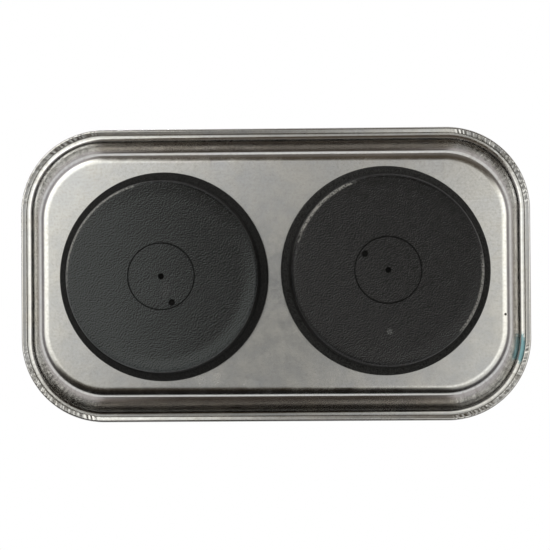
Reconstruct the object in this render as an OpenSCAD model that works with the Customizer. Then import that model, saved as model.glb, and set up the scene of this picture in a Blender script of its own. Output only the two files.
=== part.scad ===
// Magnetic parts tray: a pressed steel pan with a hemmed rim, held to metal by two
// ring magnets under it, each in a soft moulded cover.
// Upright, in millimetres: the covers rest on z = 0 and the pan opens upward.

/* [Pan] */
// Length over the rim
tray_length = 240; // [225:1:300]
// Width over the rim
tray_width = 138; // [130:1:180]
// Height of the rim above the underside of the base plate
tray_depth = 24.5; // [18:0.5:32]
// Corner radius at the outer edge of the rim
corner_radius = 39.2; // [34:0.2:48]
// Corner radius of the flat base plate
base_corner = 26.2; // [20:0.2:34]
// Thickness of the steel sheet
sheet = 0.6; // [0.4:0.1:1]
// Lean of the wall away from the vertical, in degrees
wall_lean = 22.2; // [12:0.2:26]
// Inside radius of the bend between the base plate and the wall
base_bend = 4.4; // [3:0.1:6]

/* [Hemmed rim] */
// Distance from the outer edge of the rim to the bend into the wall
rim_width = 3.6; // [3.2:0.1:7]
// Radius of that bend on its underside
rim_bend = 2.5; // [1:0.1:3.5]
// Width of the lip that is folded under the rim
hem_lip = 2.7; // [2.2:0.1:3]
// Open gap between the rim and its folded lip
hem_gap = 0.6; // [0.5:0.1:1.4]
// Tilt of the lip toward the rim, in degrees
hem_tilt = 12; // [0:1:12]

/* [Ring magnets] */
// Outside diameter of a ring magnet
magnet_d = 75; // [66:1:80]
// Bore of a ring magnet
magnet_bore = 32; // [26:1:40]
// Thickness of a ring magnet
magnet_thickness = 10; // [9:0.5:14]
// Chamfer on the edges of a ring magnet
magnet_chamfer = 0.5; // [0.2:0.1:1]

/* [Keeper plates] */
// Reach of the keeper plate past the edge of its magnet
keeper_reach = 1.5; // [1:0.1:3]
// Thickness of the keeper plate
keeper_sheet = 1.2; // [0.8:0.1:2]
// Inside radius of the bend round the top of the dish that centres the magnet
dish_bend = 1; // [0.5:0.1:1.6]

/* [Covers] */
// Thickness of the cover under the keeper plate
cover_floor = 2.3; // [1.5:0.1:4]
// Thickness of the side of the cover at its face
cover_side = 2.1; // [1:0.1:3]
// Lean of the side of the cover, in degrees
cover_draft = 8; // [5:1:16]
// Radius round the face of the cover
face_round = 2; // [0.5:0.1:2.4]
// Width of the brim that spreads against the pan
brim_width = 3.6; // [2.5:0.1:7]
// Thickness of the brim at its outer edge
brim_edge = 4; // [2.5:0.1:6]
// Rise of the brim from its outer edge to the side of the cover
brim_slope = 0.6; // [0.2:0.1:1.2]
// Radius along the outer edge of the brim
brim_round = 1.2; // [0.5:0.1:2]
// Clear space between the two covers
cover_gap = 5.5; // [2:0.5:40]
// Distance between the two covers' centres across the tray
cover_stagger = 2; // [0:0.1:6]

/* [Moulded marks] */
// Diameter of the pit in the middle of a cover
pit_d = 2.6; // [1.5:0.1:4]
// Thickness of the cover over that pit
pit_roof = 0.5; // [0.4:0.1:0.8]
// Diameter of the circle moulded round the pit
circle_d = 28.8; // [20:0.2:40]
// Width of that circle's groove
circle_groove = 0.5; // [0.3:0.1:1]
// Diameter of the pit that the moulding gate leaves
gate_d = 2.6; // [1.5:0.1:4]
// Distance of the gate pit from the middle of the cover
gate_offset = 12.2; // [6:0.1:13]
// Depth of the circle
circle_depth = 0.4; // [0.2:0.1:0.8]
// Depth of the gate pit
gate_depth = 1; // [0.4:0.1:1.2]
// Direction of the left cover's gate pit, in degrees from the tray's length
left_gate_turn = 68; // [0:1:359]
// Direction of the right cover's gate pit, in degrees from the tray's length
right_gate_turn = 215; // [0:1:359]

/* [Fasteners] */
// Diameter of a stud
stud_d = 5; // [4:0.5:6]
// Chamfer on the end of a stud
stud_chamfer = 0.5; // [0.2:0.1:0.8]
// Diameter of the foot that is welded to the pan
stud_foot_d = 7; // [6.5:0.1:9]
// Thickness of that foot
stud_foot_h = 1; // [0.6:0.1:1.4]
// Width of a nut across its flats
nut_flats = 8; // [7.5:0.5:11]
// Height of a nut
nut_h = 4; // [3:0.1:4.5]
// Space left under the nut, inside the cover
nut_recess = 0.3; // [0.1:0.1:0.6]
// Outside diameter of a flat washer
washer_d = 10; // [9:0.5:15]
// Thickness of a flat washer
washer_h = 1; // [0.6:0.1:1.4]
// Outside diameter of a spring washer
spring_d = 8.6; // [8.2:0.1:10]
// Thickness of a spring washer
spring_h = 1.2; // [0.8:0.1:1.5]
// Width of the slit in a spring washer
spring_slit = 0.8; // [0.4:0.1:1.2]

/* [Fits] */
// Side clearance between a magnet and its cover
magnet_clear = 0.4; // [0.2:0.05:0.6]
// Side clearance between a dish and the bore of its magnet
dish_clear = 0.4; // [0.2:0.05:0.6]
// Clearance round the edge of a keeper plate in its groove
groove_clear = 0.3; // [0.1:0.05:0.6]
// Side clearance between a stud and the thread of its nut
thread_clear = 0.05; // [0.02:0.01:0.1]
// Side clearance of a stud in the washers and the keeper plate
hole_clear = 0.2; // [0.1:0.05:0.4]

/* [Hidden] */

LEFT = -1;
RIGHT = 1;
$fn = 96;
hexagon = 6;
round_steps = 6;
corner_steps = 12;

// Cuts run this far past a face, so that they leave no skin
past = 1;

// Levels of one magnet base, from the floor up
keeper_z = cover_floor;
magnet_z = keeper_z + keeper_sheet;
plate_z = magnet_z + magnet_thickness;
nut_z = keeper_z + nut_recess;
spring_z = nut_z + nut_h;
washer_z = spring_z + spring_h;
dish_z = washer_z + washer_h;
groove_top_z = magnet_z + groove_clear;

// Radii of one magnet base
keeper_r = magnet_d / 2 + keeper_reach;
groove_r = keeper_r + groove_clear;
cavity_r = magnet_d / 2 + magnet_clear;
dish_r = magnet_bore / 2 - dish_clear;
foot_bend = dish_clear + magnet_chamfer;
stud_hole_r = stud_d / 2 + hole_clear;
face_r = groove_r + cover_side;
ledge_z = plate_z - brim_edge - brim_slope;
ledge_r = face_r + ledge_z * tan(cover_draft);
brim_r = ledge_r + brim_width;
cover_spacing = 2 * brim_r + cover_gap;

// Section of the pan's wall: distances outward from a corner's centre, heights above the plate's underside
wall_out = [cos(wall_lean), -sin(wall_lean)];
hem_r = hem_gap / 2;
hem_centre = [corner_radius - hem_r - sheet, tray_depth - sheet - hem_r];
rim_centre = [corner_radius - rim_width, tray_depth - sheet - rim_bend];
wall_top = rim_centre - rim_bend * wall_out;
wall_foot_h = (base_bend + sheet) * (1 - sin(wall_lean));
wall_foot = [wall_top[0] - (wall_top[1] - wall_foot_h) * tan(wall_lean), wall_foot_h];
plate_r = wall_foot[0] - (base_bend + sheet) * wall_out[0];
plate_centre = [plate_r, base_bend + sheet];
lip_out = corner_radius - hem_lip;

// Corner centres of the rim, and how far inside them those of the base plate lie, along and across the tray
corner_x = tray_length / 2 - corner_radius;
corner_y = tray_width / 2 - corner_radius;
corner_flare = base_corner - plate_r;

// Way down the wall over which the corners change, with half of each bend
bend_turn = (90 - wall_lean) * PI / 180;
rim_ease = rim_bend * bend_turn / 2;
base_ease = (base_bend + sheet) * bend_turn / 2;
flare_run = rim_ease + norm(wall_top - wall_foot) + base_ease;

// Points of an arc
function arc(centre, radius, from, to) =
    [for (step = [0:round_steps])
        let (turn = from + (to - from) * step / round_steps)
        centre + radius * [cos(turn), sin(turn)]];

// Levels of a bend of the pan: distance outward, height, and share of the corners' change
function bend(centre, radius, from, to, share) =
    [for (step = [0:round_steps])
        let (turned = step / round_steps, turn = from + (to - from) * turned)
        [centre[0] + radius * cos(turn), centre[1] + radius * sin(turn), share(turned)]];

// Share through the bend under the rim, from the rim to the wall
function rim_share(turned) = rim_ease / flare_run * turned ^ 2;

// Share through the bend round the base plate, from the wall to the plate
function base_share(turned) = 1 - base_ease / flare_run * (1 - turned) ^ 2;

// Rounded rectangle of one level, counter-clockwise from the right side's upper end
function level_points(level) =
    let (shift = corner_flare * level[2], radius = level[0] + shift)
    [for (quarter = [0:3], step = [0:corner_steps])
        let (turn = 90 * (quarter + step / corner_steps),
             side = [quarter == 1 || quarter == 2 ? LEFT : RIGHT, quarter > 1 ? LEFT : RIGHT])
        [side[0] * (corner_x - shift) + radius * cos(turn),
         side[1] * (corner_y - shift) + radius * sin(turn), level[1]]];

// Height of a face of the folded lip at its end, from the radius of that face round the fold
function lip_h(radius) =
    hem_centre[1] + (hem_centre[0] - lip_out) * tan(hem_tilt) - radius / cos(hem_tilt);

// Ring with a square section
module ring(outside_r, inside_r, height) {
    difference() {
        cylinder(r = outside_r, h = height);
        translate([0, 0, -past]) cylinder(r = inside_r, h = height + 2 * past);
    }
}

// Places one base's pieces under the pan
module at_base(side) {
    translate([side * cover_spacing / 2, -side * cover_stagger / 2, 0]) children();
}

// Solid through a run of levels, closed flat at the first and the last
module loft(levels) {
    count = 4 * (corner_steps + 1);
    last = len(levels) - 1;
    polyhedron(
        points = [for (level = levels) each level_points(level)],
        faces = concat(
            [[for (spot = [0:count - 1]) spot]],
            [[for (spot = [count - 1:-1:0]) last * count + spot]],
            [for (row = [0:last - 1], spot = [0:count - 1])
                let (next = (spot + 1) % count)
                [row * count + spot, (row + 1) * count + spot,
                 (row + 1) * count + next, row * count + next]]));
}

// Pan, pressed from one sheet: from the base plate up the wall, under the rim, round its fold and back
module tray_pan() {
    unchanged = function (turned) 0;
    color("silver") translate([0, 0, plate_z]) loft(concat(
        bend(plate_centre, base_bend + sheet, -90, -wall_lean, function (turned) base_share(1 - turned)),
        bend(rim_centre, rim_bend, 180 - wall_lean, 90, function (turned) rim_share(1 - turned)),
        bend(hem_centre, hem_r, 90, -90 - hem_tilt, unchanged),
        [[lip_out, lip_h(hem_r), 0], [lip_out, lip_h(hem_r + sheet), 0]],
        bend(hem_centre, hem_r + sheet, -90 - hem_tilt, 90, unchanged),
        bend(rim_centre, rim_bend + sheet, 90, 180 - wall_lean, function (turned) rim_share(turned)),
        bend(plate_centre, base_bend, -wall_lean, -90, function (turned) base_share(turned))));
}

// Stud welded to the underside of the pan, with a foot and a chamfered end
module weld_stud() {
    color("lightgray") rotate_extrude() polygon([
        [0, nut_z],
        [stud_d / 2 - stud_chamfer, nut_z],
        [stud_d / 2, nut_z + stud_chamfer],
        [stud_d / 2, plate_z - stud_foot_h],
        [stud_foot_d / 2, plate_z - stud_foot_h],
        [stud_foot_d / 2, plate_z],
        [0, plate_z]]);
}

// Ferrite ring magnet
module ring_magnet() {
    inner = magnet_bore / 2;
    outer = magnet_d / 2;
    c = magnet_chamfer;
    color("dimgray") rotate_extrude() polygon([
        [inner, magnet_z + c], [inner + c, magnet_z], [outer - c, magnet_z], [outer, magnet_z + c],
        [outer, plate_z - c], [outer - c, plate_z], [inner + c, plate_z], [inner, plate_z - c]]);
}

// Pressed plate that clamps the magnet, with a dish that rises into its bore
module keeper_plate() {
    foot_centre = [dish_r + foot_bend, magnet_z + foot_bend];
    top_centre = [dish_r - keeper_sheet - dish_bend, dish_z - dish_bend];
    color("lightsteelblue") rotate_extrude() polygon(concat(
        [[stud_hole_r, dish_z]],
        arc(top_centre, dish_bend, 90, 0),
        arc(foot_centre, foot_bend + keeper_sheet, 180, 270),
        [[keeper_r, keeper_z], [keeper_r, magnet_z]],
        arc(foot_centre, foot_bend, 270, 180),
        arc(top_centre, dish_bend + keeper_sheet, 0, 90),
        [[stud_hole_r, dish_z + keeper_sheet]]));
}

// Flat washer against the roof of the dish
module flat_washer() {
    color("gainsboro") translate([0, 0, washer_z]) ring(washer_d / 2, stud_hole_r, washer_h);
}

// Split spring washer
module spring_washer() {
    color("silver") translate([0, 0, spring_z]) difference() {
        ring(spring_d / 2, stud_hole_r, spring_h);
        translate([0, -spring_slit / 2, -past]) cube([spring_d, spring_slit, spring_h + 2 * past]);
    }
}

// Hexagon nut with its corners turned off
module hex_nut() {
    corner_r = nut_flats / 2 / cos(180 / hexagon);
    turned = corner_r - nut_flats / 2;
    color("gainsboro") translate([0, 0, nut_z]) difference() {
        intersection() {
            cylinder(r = corner_r, h = nut_h, $fn = hexagon);
            rotate_extrude() polygon([
                [0, 0], [nut_flats / 2, 0], [corner_r, turned / 2],
                [corner_r, nut_h - turned / 2], [nut_flats / 2, nut_h], [0, nut_h]]);
        }
        translate([0, 0, -past]) cylinder(r = stud_d / 2 + thread_clear, h = nut_h + 2 * past);
    }
}

// Section of a cover: rounded face, leaning side, sloping brim, and the groove that snaps over the keeper plate
module cover_section() {
    ledge_fall = atan2(brim_slope, brim_width);
    side_top = [ledge_r, ledge_z];
    brim_h = plate_z - brim_edge;
    face_centre = [face_r + face_round * (tan(cover_draft) - 1 / cos(cover_draft)), face_round];
    edge_centre = [brim_r - brim_round,
                   brim_h + brim_round * (1 / cos(ledge_fall) - tan(ledge_fall))];
    polygon(concat(
        [[0, 0]],
        arc(face_centre, face_round, -90, -cover_draft),
        [side_top],
        arc(edge_centre, brim_round, ledge_fall - 90, 0),
        [[brim_r, plate_z], [cavity_r, plate_z], [cavity_r, groove_top_z],
         [groove_r, groove_top_z], [groove_r, keeper_z], [0, keeper_z]]));
}

// Moulded cover of one base
module magnet_cover(gate_turn) {
    color([0.13, 0.13, 0.14]) difference() {
        rotate_extrude() cover_section();
        translate([0, 0, -past]) cylinder(d = pit_d, h = past + cover_floor - pit_roof);
        translate([0, 0, -past])
            ring((circle_d + circle_groove) / 2, (circle_d - circle_groove) / 2, past + circle_depth);
        rotate(gate_turn) translate([gate_offset, 0, -past]) cylinder(d = gate_d, h = past + gate_depth);
    }
}

tray_pan();
at_base(LEFT) weld_stud();  // left_weld_stud
at_base(RIGHT) weld_stud();  // right_weld_stud
at_base(LEFT) ring_magnet();  // left_ring_magnet
at_base(RIGHT) ring_magnet();  // right_ring_magnet
at_base(LEFT) keeper_plate();  // left_keeper_plate
at_base(RIGHT) keeper_plate();  // right_keeper_plate
at_base(LEFT) flat_washer();  // left_flat_washer
at_base(RIGHT) flat_washer();  // right_flat_washer
at_base(LEFT) spring_washer();  // left_spring_washer
at_base(RIGHT) spring_washer();  // right_spring_washer
at_base(LEFT) hex_nut();  // left_hex_nut
at_base(RIGHT) hex_nut();  // right_hex_nut
at_base(LEFT) magnet_cover(left_gate_turn);  // left_magnet_cover
at_base(RIGHT) magnet_cover(right_gate_turn);  // right_magnet_cover
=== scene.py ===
"""Magnetic parts tray: a pressed steel pan on two ring magnets in moulded covers.

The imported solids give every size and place. The pan and the covers are swept here in finer
detail, and the pieces inside the covers keep their solids and get their own finishes.
"""
import logging
import math
from dataclasses import dataclass, field
from enum import Enum
from functools import reduce

import bpy
import bmesh
from mathutils import Matrix, Vector


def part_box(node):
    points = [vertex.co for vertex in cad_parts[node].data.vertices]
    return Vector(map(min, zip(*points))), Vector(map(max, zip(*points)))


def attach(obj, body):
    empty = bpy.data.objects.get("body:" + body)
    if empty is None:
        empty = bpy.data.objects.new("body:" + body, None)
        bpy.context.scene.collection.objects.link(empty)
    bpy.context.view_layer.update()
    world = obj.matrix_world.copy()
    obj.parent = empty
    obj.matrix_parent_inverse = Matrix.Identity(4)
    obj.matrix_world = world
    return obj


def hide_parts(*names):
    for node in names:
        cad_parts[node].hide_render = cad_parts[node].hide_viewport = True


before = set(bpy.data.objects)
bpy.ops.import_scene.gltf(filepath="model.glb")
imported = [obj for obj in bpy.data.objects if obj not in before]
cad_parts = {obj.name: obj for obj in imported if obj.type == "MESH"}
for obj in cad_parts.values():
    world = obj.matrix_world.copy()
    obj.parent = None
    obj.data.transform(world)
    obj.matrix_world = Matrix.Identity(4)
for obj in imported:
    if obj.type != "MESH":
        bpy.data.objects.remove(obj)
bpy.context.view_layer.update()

MM = 0.001
BODY = "root"
PHOTO_SIDE = 550
MERGE_WITHIN = 0.002 * MM
NOISE_MIDDLE = 0.5
FLOAT, VECTOR = "NodeSocketFloat", "NodeSocketVector"
log = logging.getLogger("tray")

Colour = tuple[float, float, float, float]
Pair = tuple[float, float]
Triple = tuple[float, float, float]
Socket = bpy.types.NodeSocket
# The low and the high end of a value, and the results there where they aren't 0 and 1.
Range = tuple[float, ...]
# The cells of a noise per unit of its coordinates, its finer layers and their strength.
Grain = tuple[float, ...]


class Side(Enum):
    """The two magnet bases, by the end of the tray that they stand at."""

    LEFT = "left"
    RIGHT = "right"


class Slot(Enum):
    """Names of two material slots of the record."""

    STAINLESS = "stainless"
    RUBBER = "black_rubber"


class Wiring:
    """Adds nodes to one node tree and joins them."""

    def __init__(self, tree: bpy.types.NodeTree) -> None:
        """Keeps the tree to work on."""
        self.tree = tree

    def put(self, socket: Socket, value: object) -> None:
        """Links an output into an input, or sets the input to a plain value.

        Args:
            socket: the input to fill.
            value: another node's output, or a value of the input's own kind.
        """
        if isinstance(value, Socket):
            self.tree.links.new(value, socket)
        else:
            socket.default_value = value

    def add(self, kind: str, inputs: dict | None = None, **settings: object) -> bpy.types.Node:
        """Adds one node.

        Args:
            kind: the node's type name.
            inputs: values or outputs for its inputs, by name or number.
            settings: the node's own properties.

        Returns:
            The new node.
        """
        node = self.tree.nodes.new(kind)
        for name, value in settings.items():
            setattr(node, name, value)
        for name, value in (inputs or {}).items():
            self.put(node.inputs[name], value)
        return node

    def math(self, operation: str, *values: object) -> Socket:
        """Adds a maths node with its operands in order."""
        return self.add("ShaderNodeMath", dict(enumerate(values)), operation=operation).outputs[0]

    def product(self, *values: object) -> Socket:
        """Multiplies two or more values."""
        return reduce(lambda first, second: self.math("MULTIPLY", first, second), values)

    def total(self, *values: object) -> Socket:
        """Adds two or more values."""
        return reduce(lambda first, second: self.math("ADD", first, second), values)

    def vector(self, operation: str, *values: object) -> Socket:
        """Adds a vector maths node.

        Args:
            operation: the operation's name.
            values: its operands, in order; the factor of SCALE comes second.

        Returns:
            The vector result's socket, or the value's for DOT_PRODUCT, LENGTH and DISTANCE.
        """
        inputs = dict(enumerate(values))
        if operation == "SCALE":
            inputs = {0: values[0], "Scale": values[1]}
        node = self.add("ShaderNodeVectorMath", inputs, operation=operation)
        single = operation in ("DOT_PRODUCT", "LENGTH", "DISTANCE")
        return node.outputs["Value" if single else "Vector"]

    def point(self, x: object = 0.0, y: object = 0.0, z: object = 0.0) -> Socket:
        """Puts three values together as a vector."""
        return self.add("ShaderNodeCombineXYZ", {"X": x, "Y": y, "Z": z}).outputs[0]

    def span(self, value: object, low: float, high: float, start: float = 0.0, end: float = 1.0,
             shape: str = "SMOOTHSTEP") -> Socket:
        """Maps a value from low and high to start and end, held at both ends."""
        inputs = {"Value": value, "From Min": low, "From Max": high, "To Min": start, "To Max": end}
        return self.add("ShaderNodeMapRange", inputs, interpolation_type=shape).outputs[0]

    def blend(self, factor: object, first: object, second: object) -> Socket:
        """Mixes two colours by the share of the second."""
        inputs = {0: factor, 6: first, 7: second}
        return self.add("ShaderNodeMix", inputs, data_type="RGBA").outputs[2]

    def noise(self, place: object, scale: object, detail: float = 2.0, rough: float = 0.5) -> Socket:
        """Adds a noise texture, whose value lies around its middle."""
        inputs = {"Vector": place, "Scale": scale, "Detail": detail, "Roughness": rough}
        return self.add("ShaderNodeTexNoise", inputs).outputs[0]


class Surface(Wiring):
    """The wiring of one material, with its object coordinates and its shader."""

    def __init__(self, name: str) -> None:
        """Starts the material.

        Args:
            name: the material's name.
        """
        self.material = bpy.data.materials.new(name)
        self.material.use_nodes = True
        super().__init__(self.material.node_tree)
        self.place = self.add("ShaderNodeTexCoord").outputs["Object"]
        self.shader = self.tree.nodes["Principled BSDF"]

    def attribute(self, name: str) -> Socket:
        """Reads one of the mesh's own values."""
        return self.add("ShaderNodeAttribute", attribute_name=name).outputs["Fac"]

    def axes(self) -> tuple[Socket, ...]:
        """Splits the object coordinates into X, Y and Z."""
        return tuple(self.add("ShaderNodeSeparateXYZ", {0: self.place}).outputs)

    def coats(self, colour: object, *coats: tuple[object, object]) -> Socket:
        """Lays colours over each other.

        Args:
            colour: the colour below.
            coats: the mask and the colour of each coat, in order.

        Returns:
            The colour's socket.
        """
        for mask, coat in coats:
            colour = self.blend(mask, colour, coat)
        return colour

    def fill(self, colour: Socket, roughness: Socket,
             relief: Socket | None = None) -> bpy.types.Material:
        """Gives the shader what changes over the surface.

        Args:
            colour: the base colour.
            roughness: the roughness.
            relief: the height of the fine relief, in metres.

        Returns:
            The material.
        """
        self.put(self.shader.inputs["Base Color"], colour)
        self.put(self.shader.inputs["Roughness"], roughness)
        if relief is not None:
            bump = self.add("ShaderNodeBump", {"Distance": 1.0, "Height": relief})
            self.put(self.shader.inputs["Normal"], bump.outputs[0])
        return self.material


class Effect:
    """A shader node group with one value or mask as its result, shared by several finishes."""

    def __init__(self, name: str, **inputs: str) -> None:
        """Starts the group with its coordinates and its other inputs.

        Args:
            name: the group's name.
            inputs: the socket type of each other input.
        """
        self.tree = bpy.data.node_groups.new(name, "ShaderNodeTree")
        for label, kind in {"Vector": VECTOR, **inputs}.items():
            self.tree.interface.new_socket(label, in_out="INPUT", socket_type=kind)
        self.tree.interface.new_socket("Mask", in_out="OUTPUT", socket_type=FLOAT)
        self.wires = Wiring(self.tree)
        self.given = self.tree.nodes.new("NodeGroupInput").outputs

    def result(self, value: Socket) -> None:
        """Ends the group with its result."""
        self.wires.add("NodeGroupOutput", {"Mask": value})

    def use(self, surface: Surface, **inputs: object) -> Socket:
        """Adds the group to a material, at its object coordinates where no others are given."""
        inputs = {"Vector": surface.place, **inputs}
        return surface.add("ShaderNodeGroup", inputs, node_tree=self.tree).outputs["Mask"]


class Clouds(Effect):
    """Soft patches of tone that drift over a surface."""

    coarse_share: float = 0.65
    finer: float = 4.3
    contrast: Range = (0.25, 0.75)

    def __init__(self) -> None:
        """Builds the group."""
        super().__init__("clouds", Scale=FLOAT)
        wires, place, scale = self.wires, self.given["Vector"], self.given["Scale"]
        coarse = wires.product(wires.noise(place, scale), self.coarse_share)
        fine = wires.noise(place, wires.product(scale, self.finer), 1.0)
        fine = wires.product(fine, 1.0 - self.coarse_share)
        self.result(wires.span(wires.total(coarse, fine), *self.contrast))


class Hairlines(Effect):
    """Thin straight scratches in one direction, broken into short lengths."""

    stretch: Triple = (0.03, 1.0, 1.0)
    width: Range = (0.0, 0.02, 1.0, 0.0)
    break_scale: float = 0.12
    breaks: Range = (0.5, 0.66)

    def __init__(self) -> None:
        """Builds the group."""
        super().__init__("hairlines", Turn=FLOAT, Scale=FLOAT)
        wires, place, scale = self.wires, self.given["Vector"], self.given["Scale"]
        turned = wires.add("ShaderNodeVectorRotate", {"Vector": place, "Angle": self.given["Turn"]},
                           rotation_type="Z_AXIS").outputs[0]
        drawn = wires.add("ShaderNodeMapping", {"Vector": turned, "Scale": self.stretch}).outputs[0]
        away = wires.math("SUBTRACT", wires.noise(drawn, scale, 1.0), NOISE_MIDDLE)
        thin = wires.span(wires.math("ABSOLUTE", away), *self.width)
        broken = wires.noise(turned, wires.product(scale, self.break_scale), 1.0)
        self.result(wires.product(thin, wires.span(broken, *self.breaks)))


class Patch(Effect):
    """One marked place with a ragged edge."""

    edge_grain: Grain = (700.0, 3.0)
    edge: Range = (0.7, 1.1, 1.0, 0.0)

    def __init__(self) -> None:
        """Builds the group."""
        super().__init__("patch", Centre=VECTOR, Reach=VECTOR, Ragged=FLOAT)
        wires, place = self.wires, self.given["Vector"]
        offset = wires.vector("SUBTRACT", place, self.given["Centre"])
        away = wires.vector("LENGTH", wires.vector("DIVIDE", offset, self.given["Reach"]))
        rough = wires.math("SUBTRACT", wires.noise(place, *self.edge_grain), NOISE_MIDDLE)
        away = wires.total(away, wires.product(rough, self.given["Ragged"]))
        self.result(wires.span(away, *self.edge))


class Pebbles(Effect):
    """Rounded grain, as moulded leather or pressed powder has it."""

    wander: float = 0.6
    softness: float = 0.4
    dome: Range = (0.0, 0.75, 1.0, 0.0)

    def __init__(self) -> None:
        """Builds the group."""
        super().__init__("pebbles", Scale=FLOAT)
        wires, place, scale = self.wires, self.given["Vector"], self.given["Scale"]
        drift = wires.add("ShaderNodeTexNoise", {"Vector": place, "Scale": scale}).outputs["Color"]
        drift = wires.vector("SCALE", drift, wires.math("DIVIDE", self.wander, scale))
        cell = wires.add("ShaderNodeTexVoronoi", {
            "Vector": wires.vector("ADD", place, drift), "Scale": scale,
            "Smoothness": self.softness}, feature="SMOOTH_F1").outputs["Distance"]
        self.result(wires.span(cell, *self.dome, "LINEAR"))


@dataclass
class Effects:
    """The shared groups, made once."""

    clouds: Clouds = field(default_factory=Clouds)
    hairlines: Hairlines = field(default_factory=Hairlines)
    patch: Patch = field(default_factory=Patch)
    pebbles: Pebbles = field(default_factory=Pebbles)


@dataclass(frozen=True)
class Mark:
    """Place and reach of one mark on a surface, and how ragged its edge is."""

    centre: Triple
    reach: Triple
    ragged: float = 0.8

    def mask(self, effects: Effects, surface: Surface) -> Socket:
        """Adds the mark's mask to a material."""
        return effects.patch.use(surface, Centre=self.centre, Reach=self.reach, Ragged=self.ragged)


def arc(centre: Pair, radius: float, start: float, end: float, steps: int) -> list[Pair]:
    """Points along an arc.

    Args:
        centre: the arc's centre.
        radius: its radius.
        start: the angle of its first point, in degrees.
        end: the angle of its last point, in degrees.
        steps: the number of chords.

    Returns:
        The points, both ends among them.
    """
    turns = [math.radians(start + (end - start) * step / steps) for step in range(steps + 1)]
    return [(centre[0] + radius * math.cos(turn), centre[1] + radius * math.sin(turn))
            for turn in turns]


def line(start: Pair, end: Pair, steps: int) -> list[Pair]:
    """Points along a straight line, both ends among them."""
    return [(start[0] + (end[0] - start[0]) * step / steps,
             start[1] + (end[1] - start[1]) * step / steps) for step in range(steps + 1)]


@dataclass(frozen=True)
class SectionPoint:
    """One point of a swept section.

    out is the distance from the route's feet, up the height, and flare the distance that the
    corners' centres move inward there. The rest are weights from 0 to 1: hem on the folded lip, drawn
    wherever the sheet was bent or stretched, under on the underside, edge on a moulding's rounded
    edge and flank on its side and brim.
    """

    out: float
    up: float
    flare: float = 0.0
    hem: float = 0.0
    drawn: float = 0.0
    under: float = 0.0
    edge: float = 0.0
    flank: float = 0.0


@dataclass(frozen=True)
class RoutePoint:
    """One point of a route: its foot, the way outward, the length so far and a corner's weight."""

    foot: Pair
    outward: Pair
    along: float = 0.0
    corner: float = 0.0


def strand(name: str, points: list, closed: bool) -> bpy.types.Object:
    """Makes an object that carries a route or a section as one line of edges.

    Args:
        name: the object's name.
        points: route points or section points, whose values become attributes.
        closed: whether the last point joins the first.

    Returns:
        The object, whose own places mean nothing but keep its points apart.
    """
    count = len(points)
    edges = [(index, index + 1) for index in range(count - 1)]
    if closed:
        edges.append((count - 1, 0))
    turns = [math.pi * index / count for index in range(count)]
    mesh = bpy.data.meshes.new(name)
    mesh.from_pydata([(math.cos(turn), math.sin(turn), 0.0) for turn in turns], edges, [])
    for label in points[0].__dataclass_fields__:
        values = [getattr(point, label) for point in points]
        if isinstance(values[0], tuple):
            layer = mesh.attributes.new(label, "FLOAT_VECTOR", "POINT")
            layer.data.foreach_set("vector", [number for pair in values for number in (*pair, 0.0)])
        else:
            layer = mesh.attributes.new(label, "FLOAT", "POINT")
            layer.data.foreach_set("value", values)
    made = bpy.data.objects.new(name, mesh)
    bpy.context.scene.collection.objects.link(made)
    return made


def turn_outward(mesh: bpy.types.Mesh) -> None:
    """Points every face of a closed mesh outward.

    Args:
        mesh: the mesh, with its doubles merged.
    """
    work = bmesh.new()
    work.from_mesh(mesh)
    bmesh.ops.recalc_face_normals(work, faces=work.faces)
    work.to_mesh(mesh)
    work.free()


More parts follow.
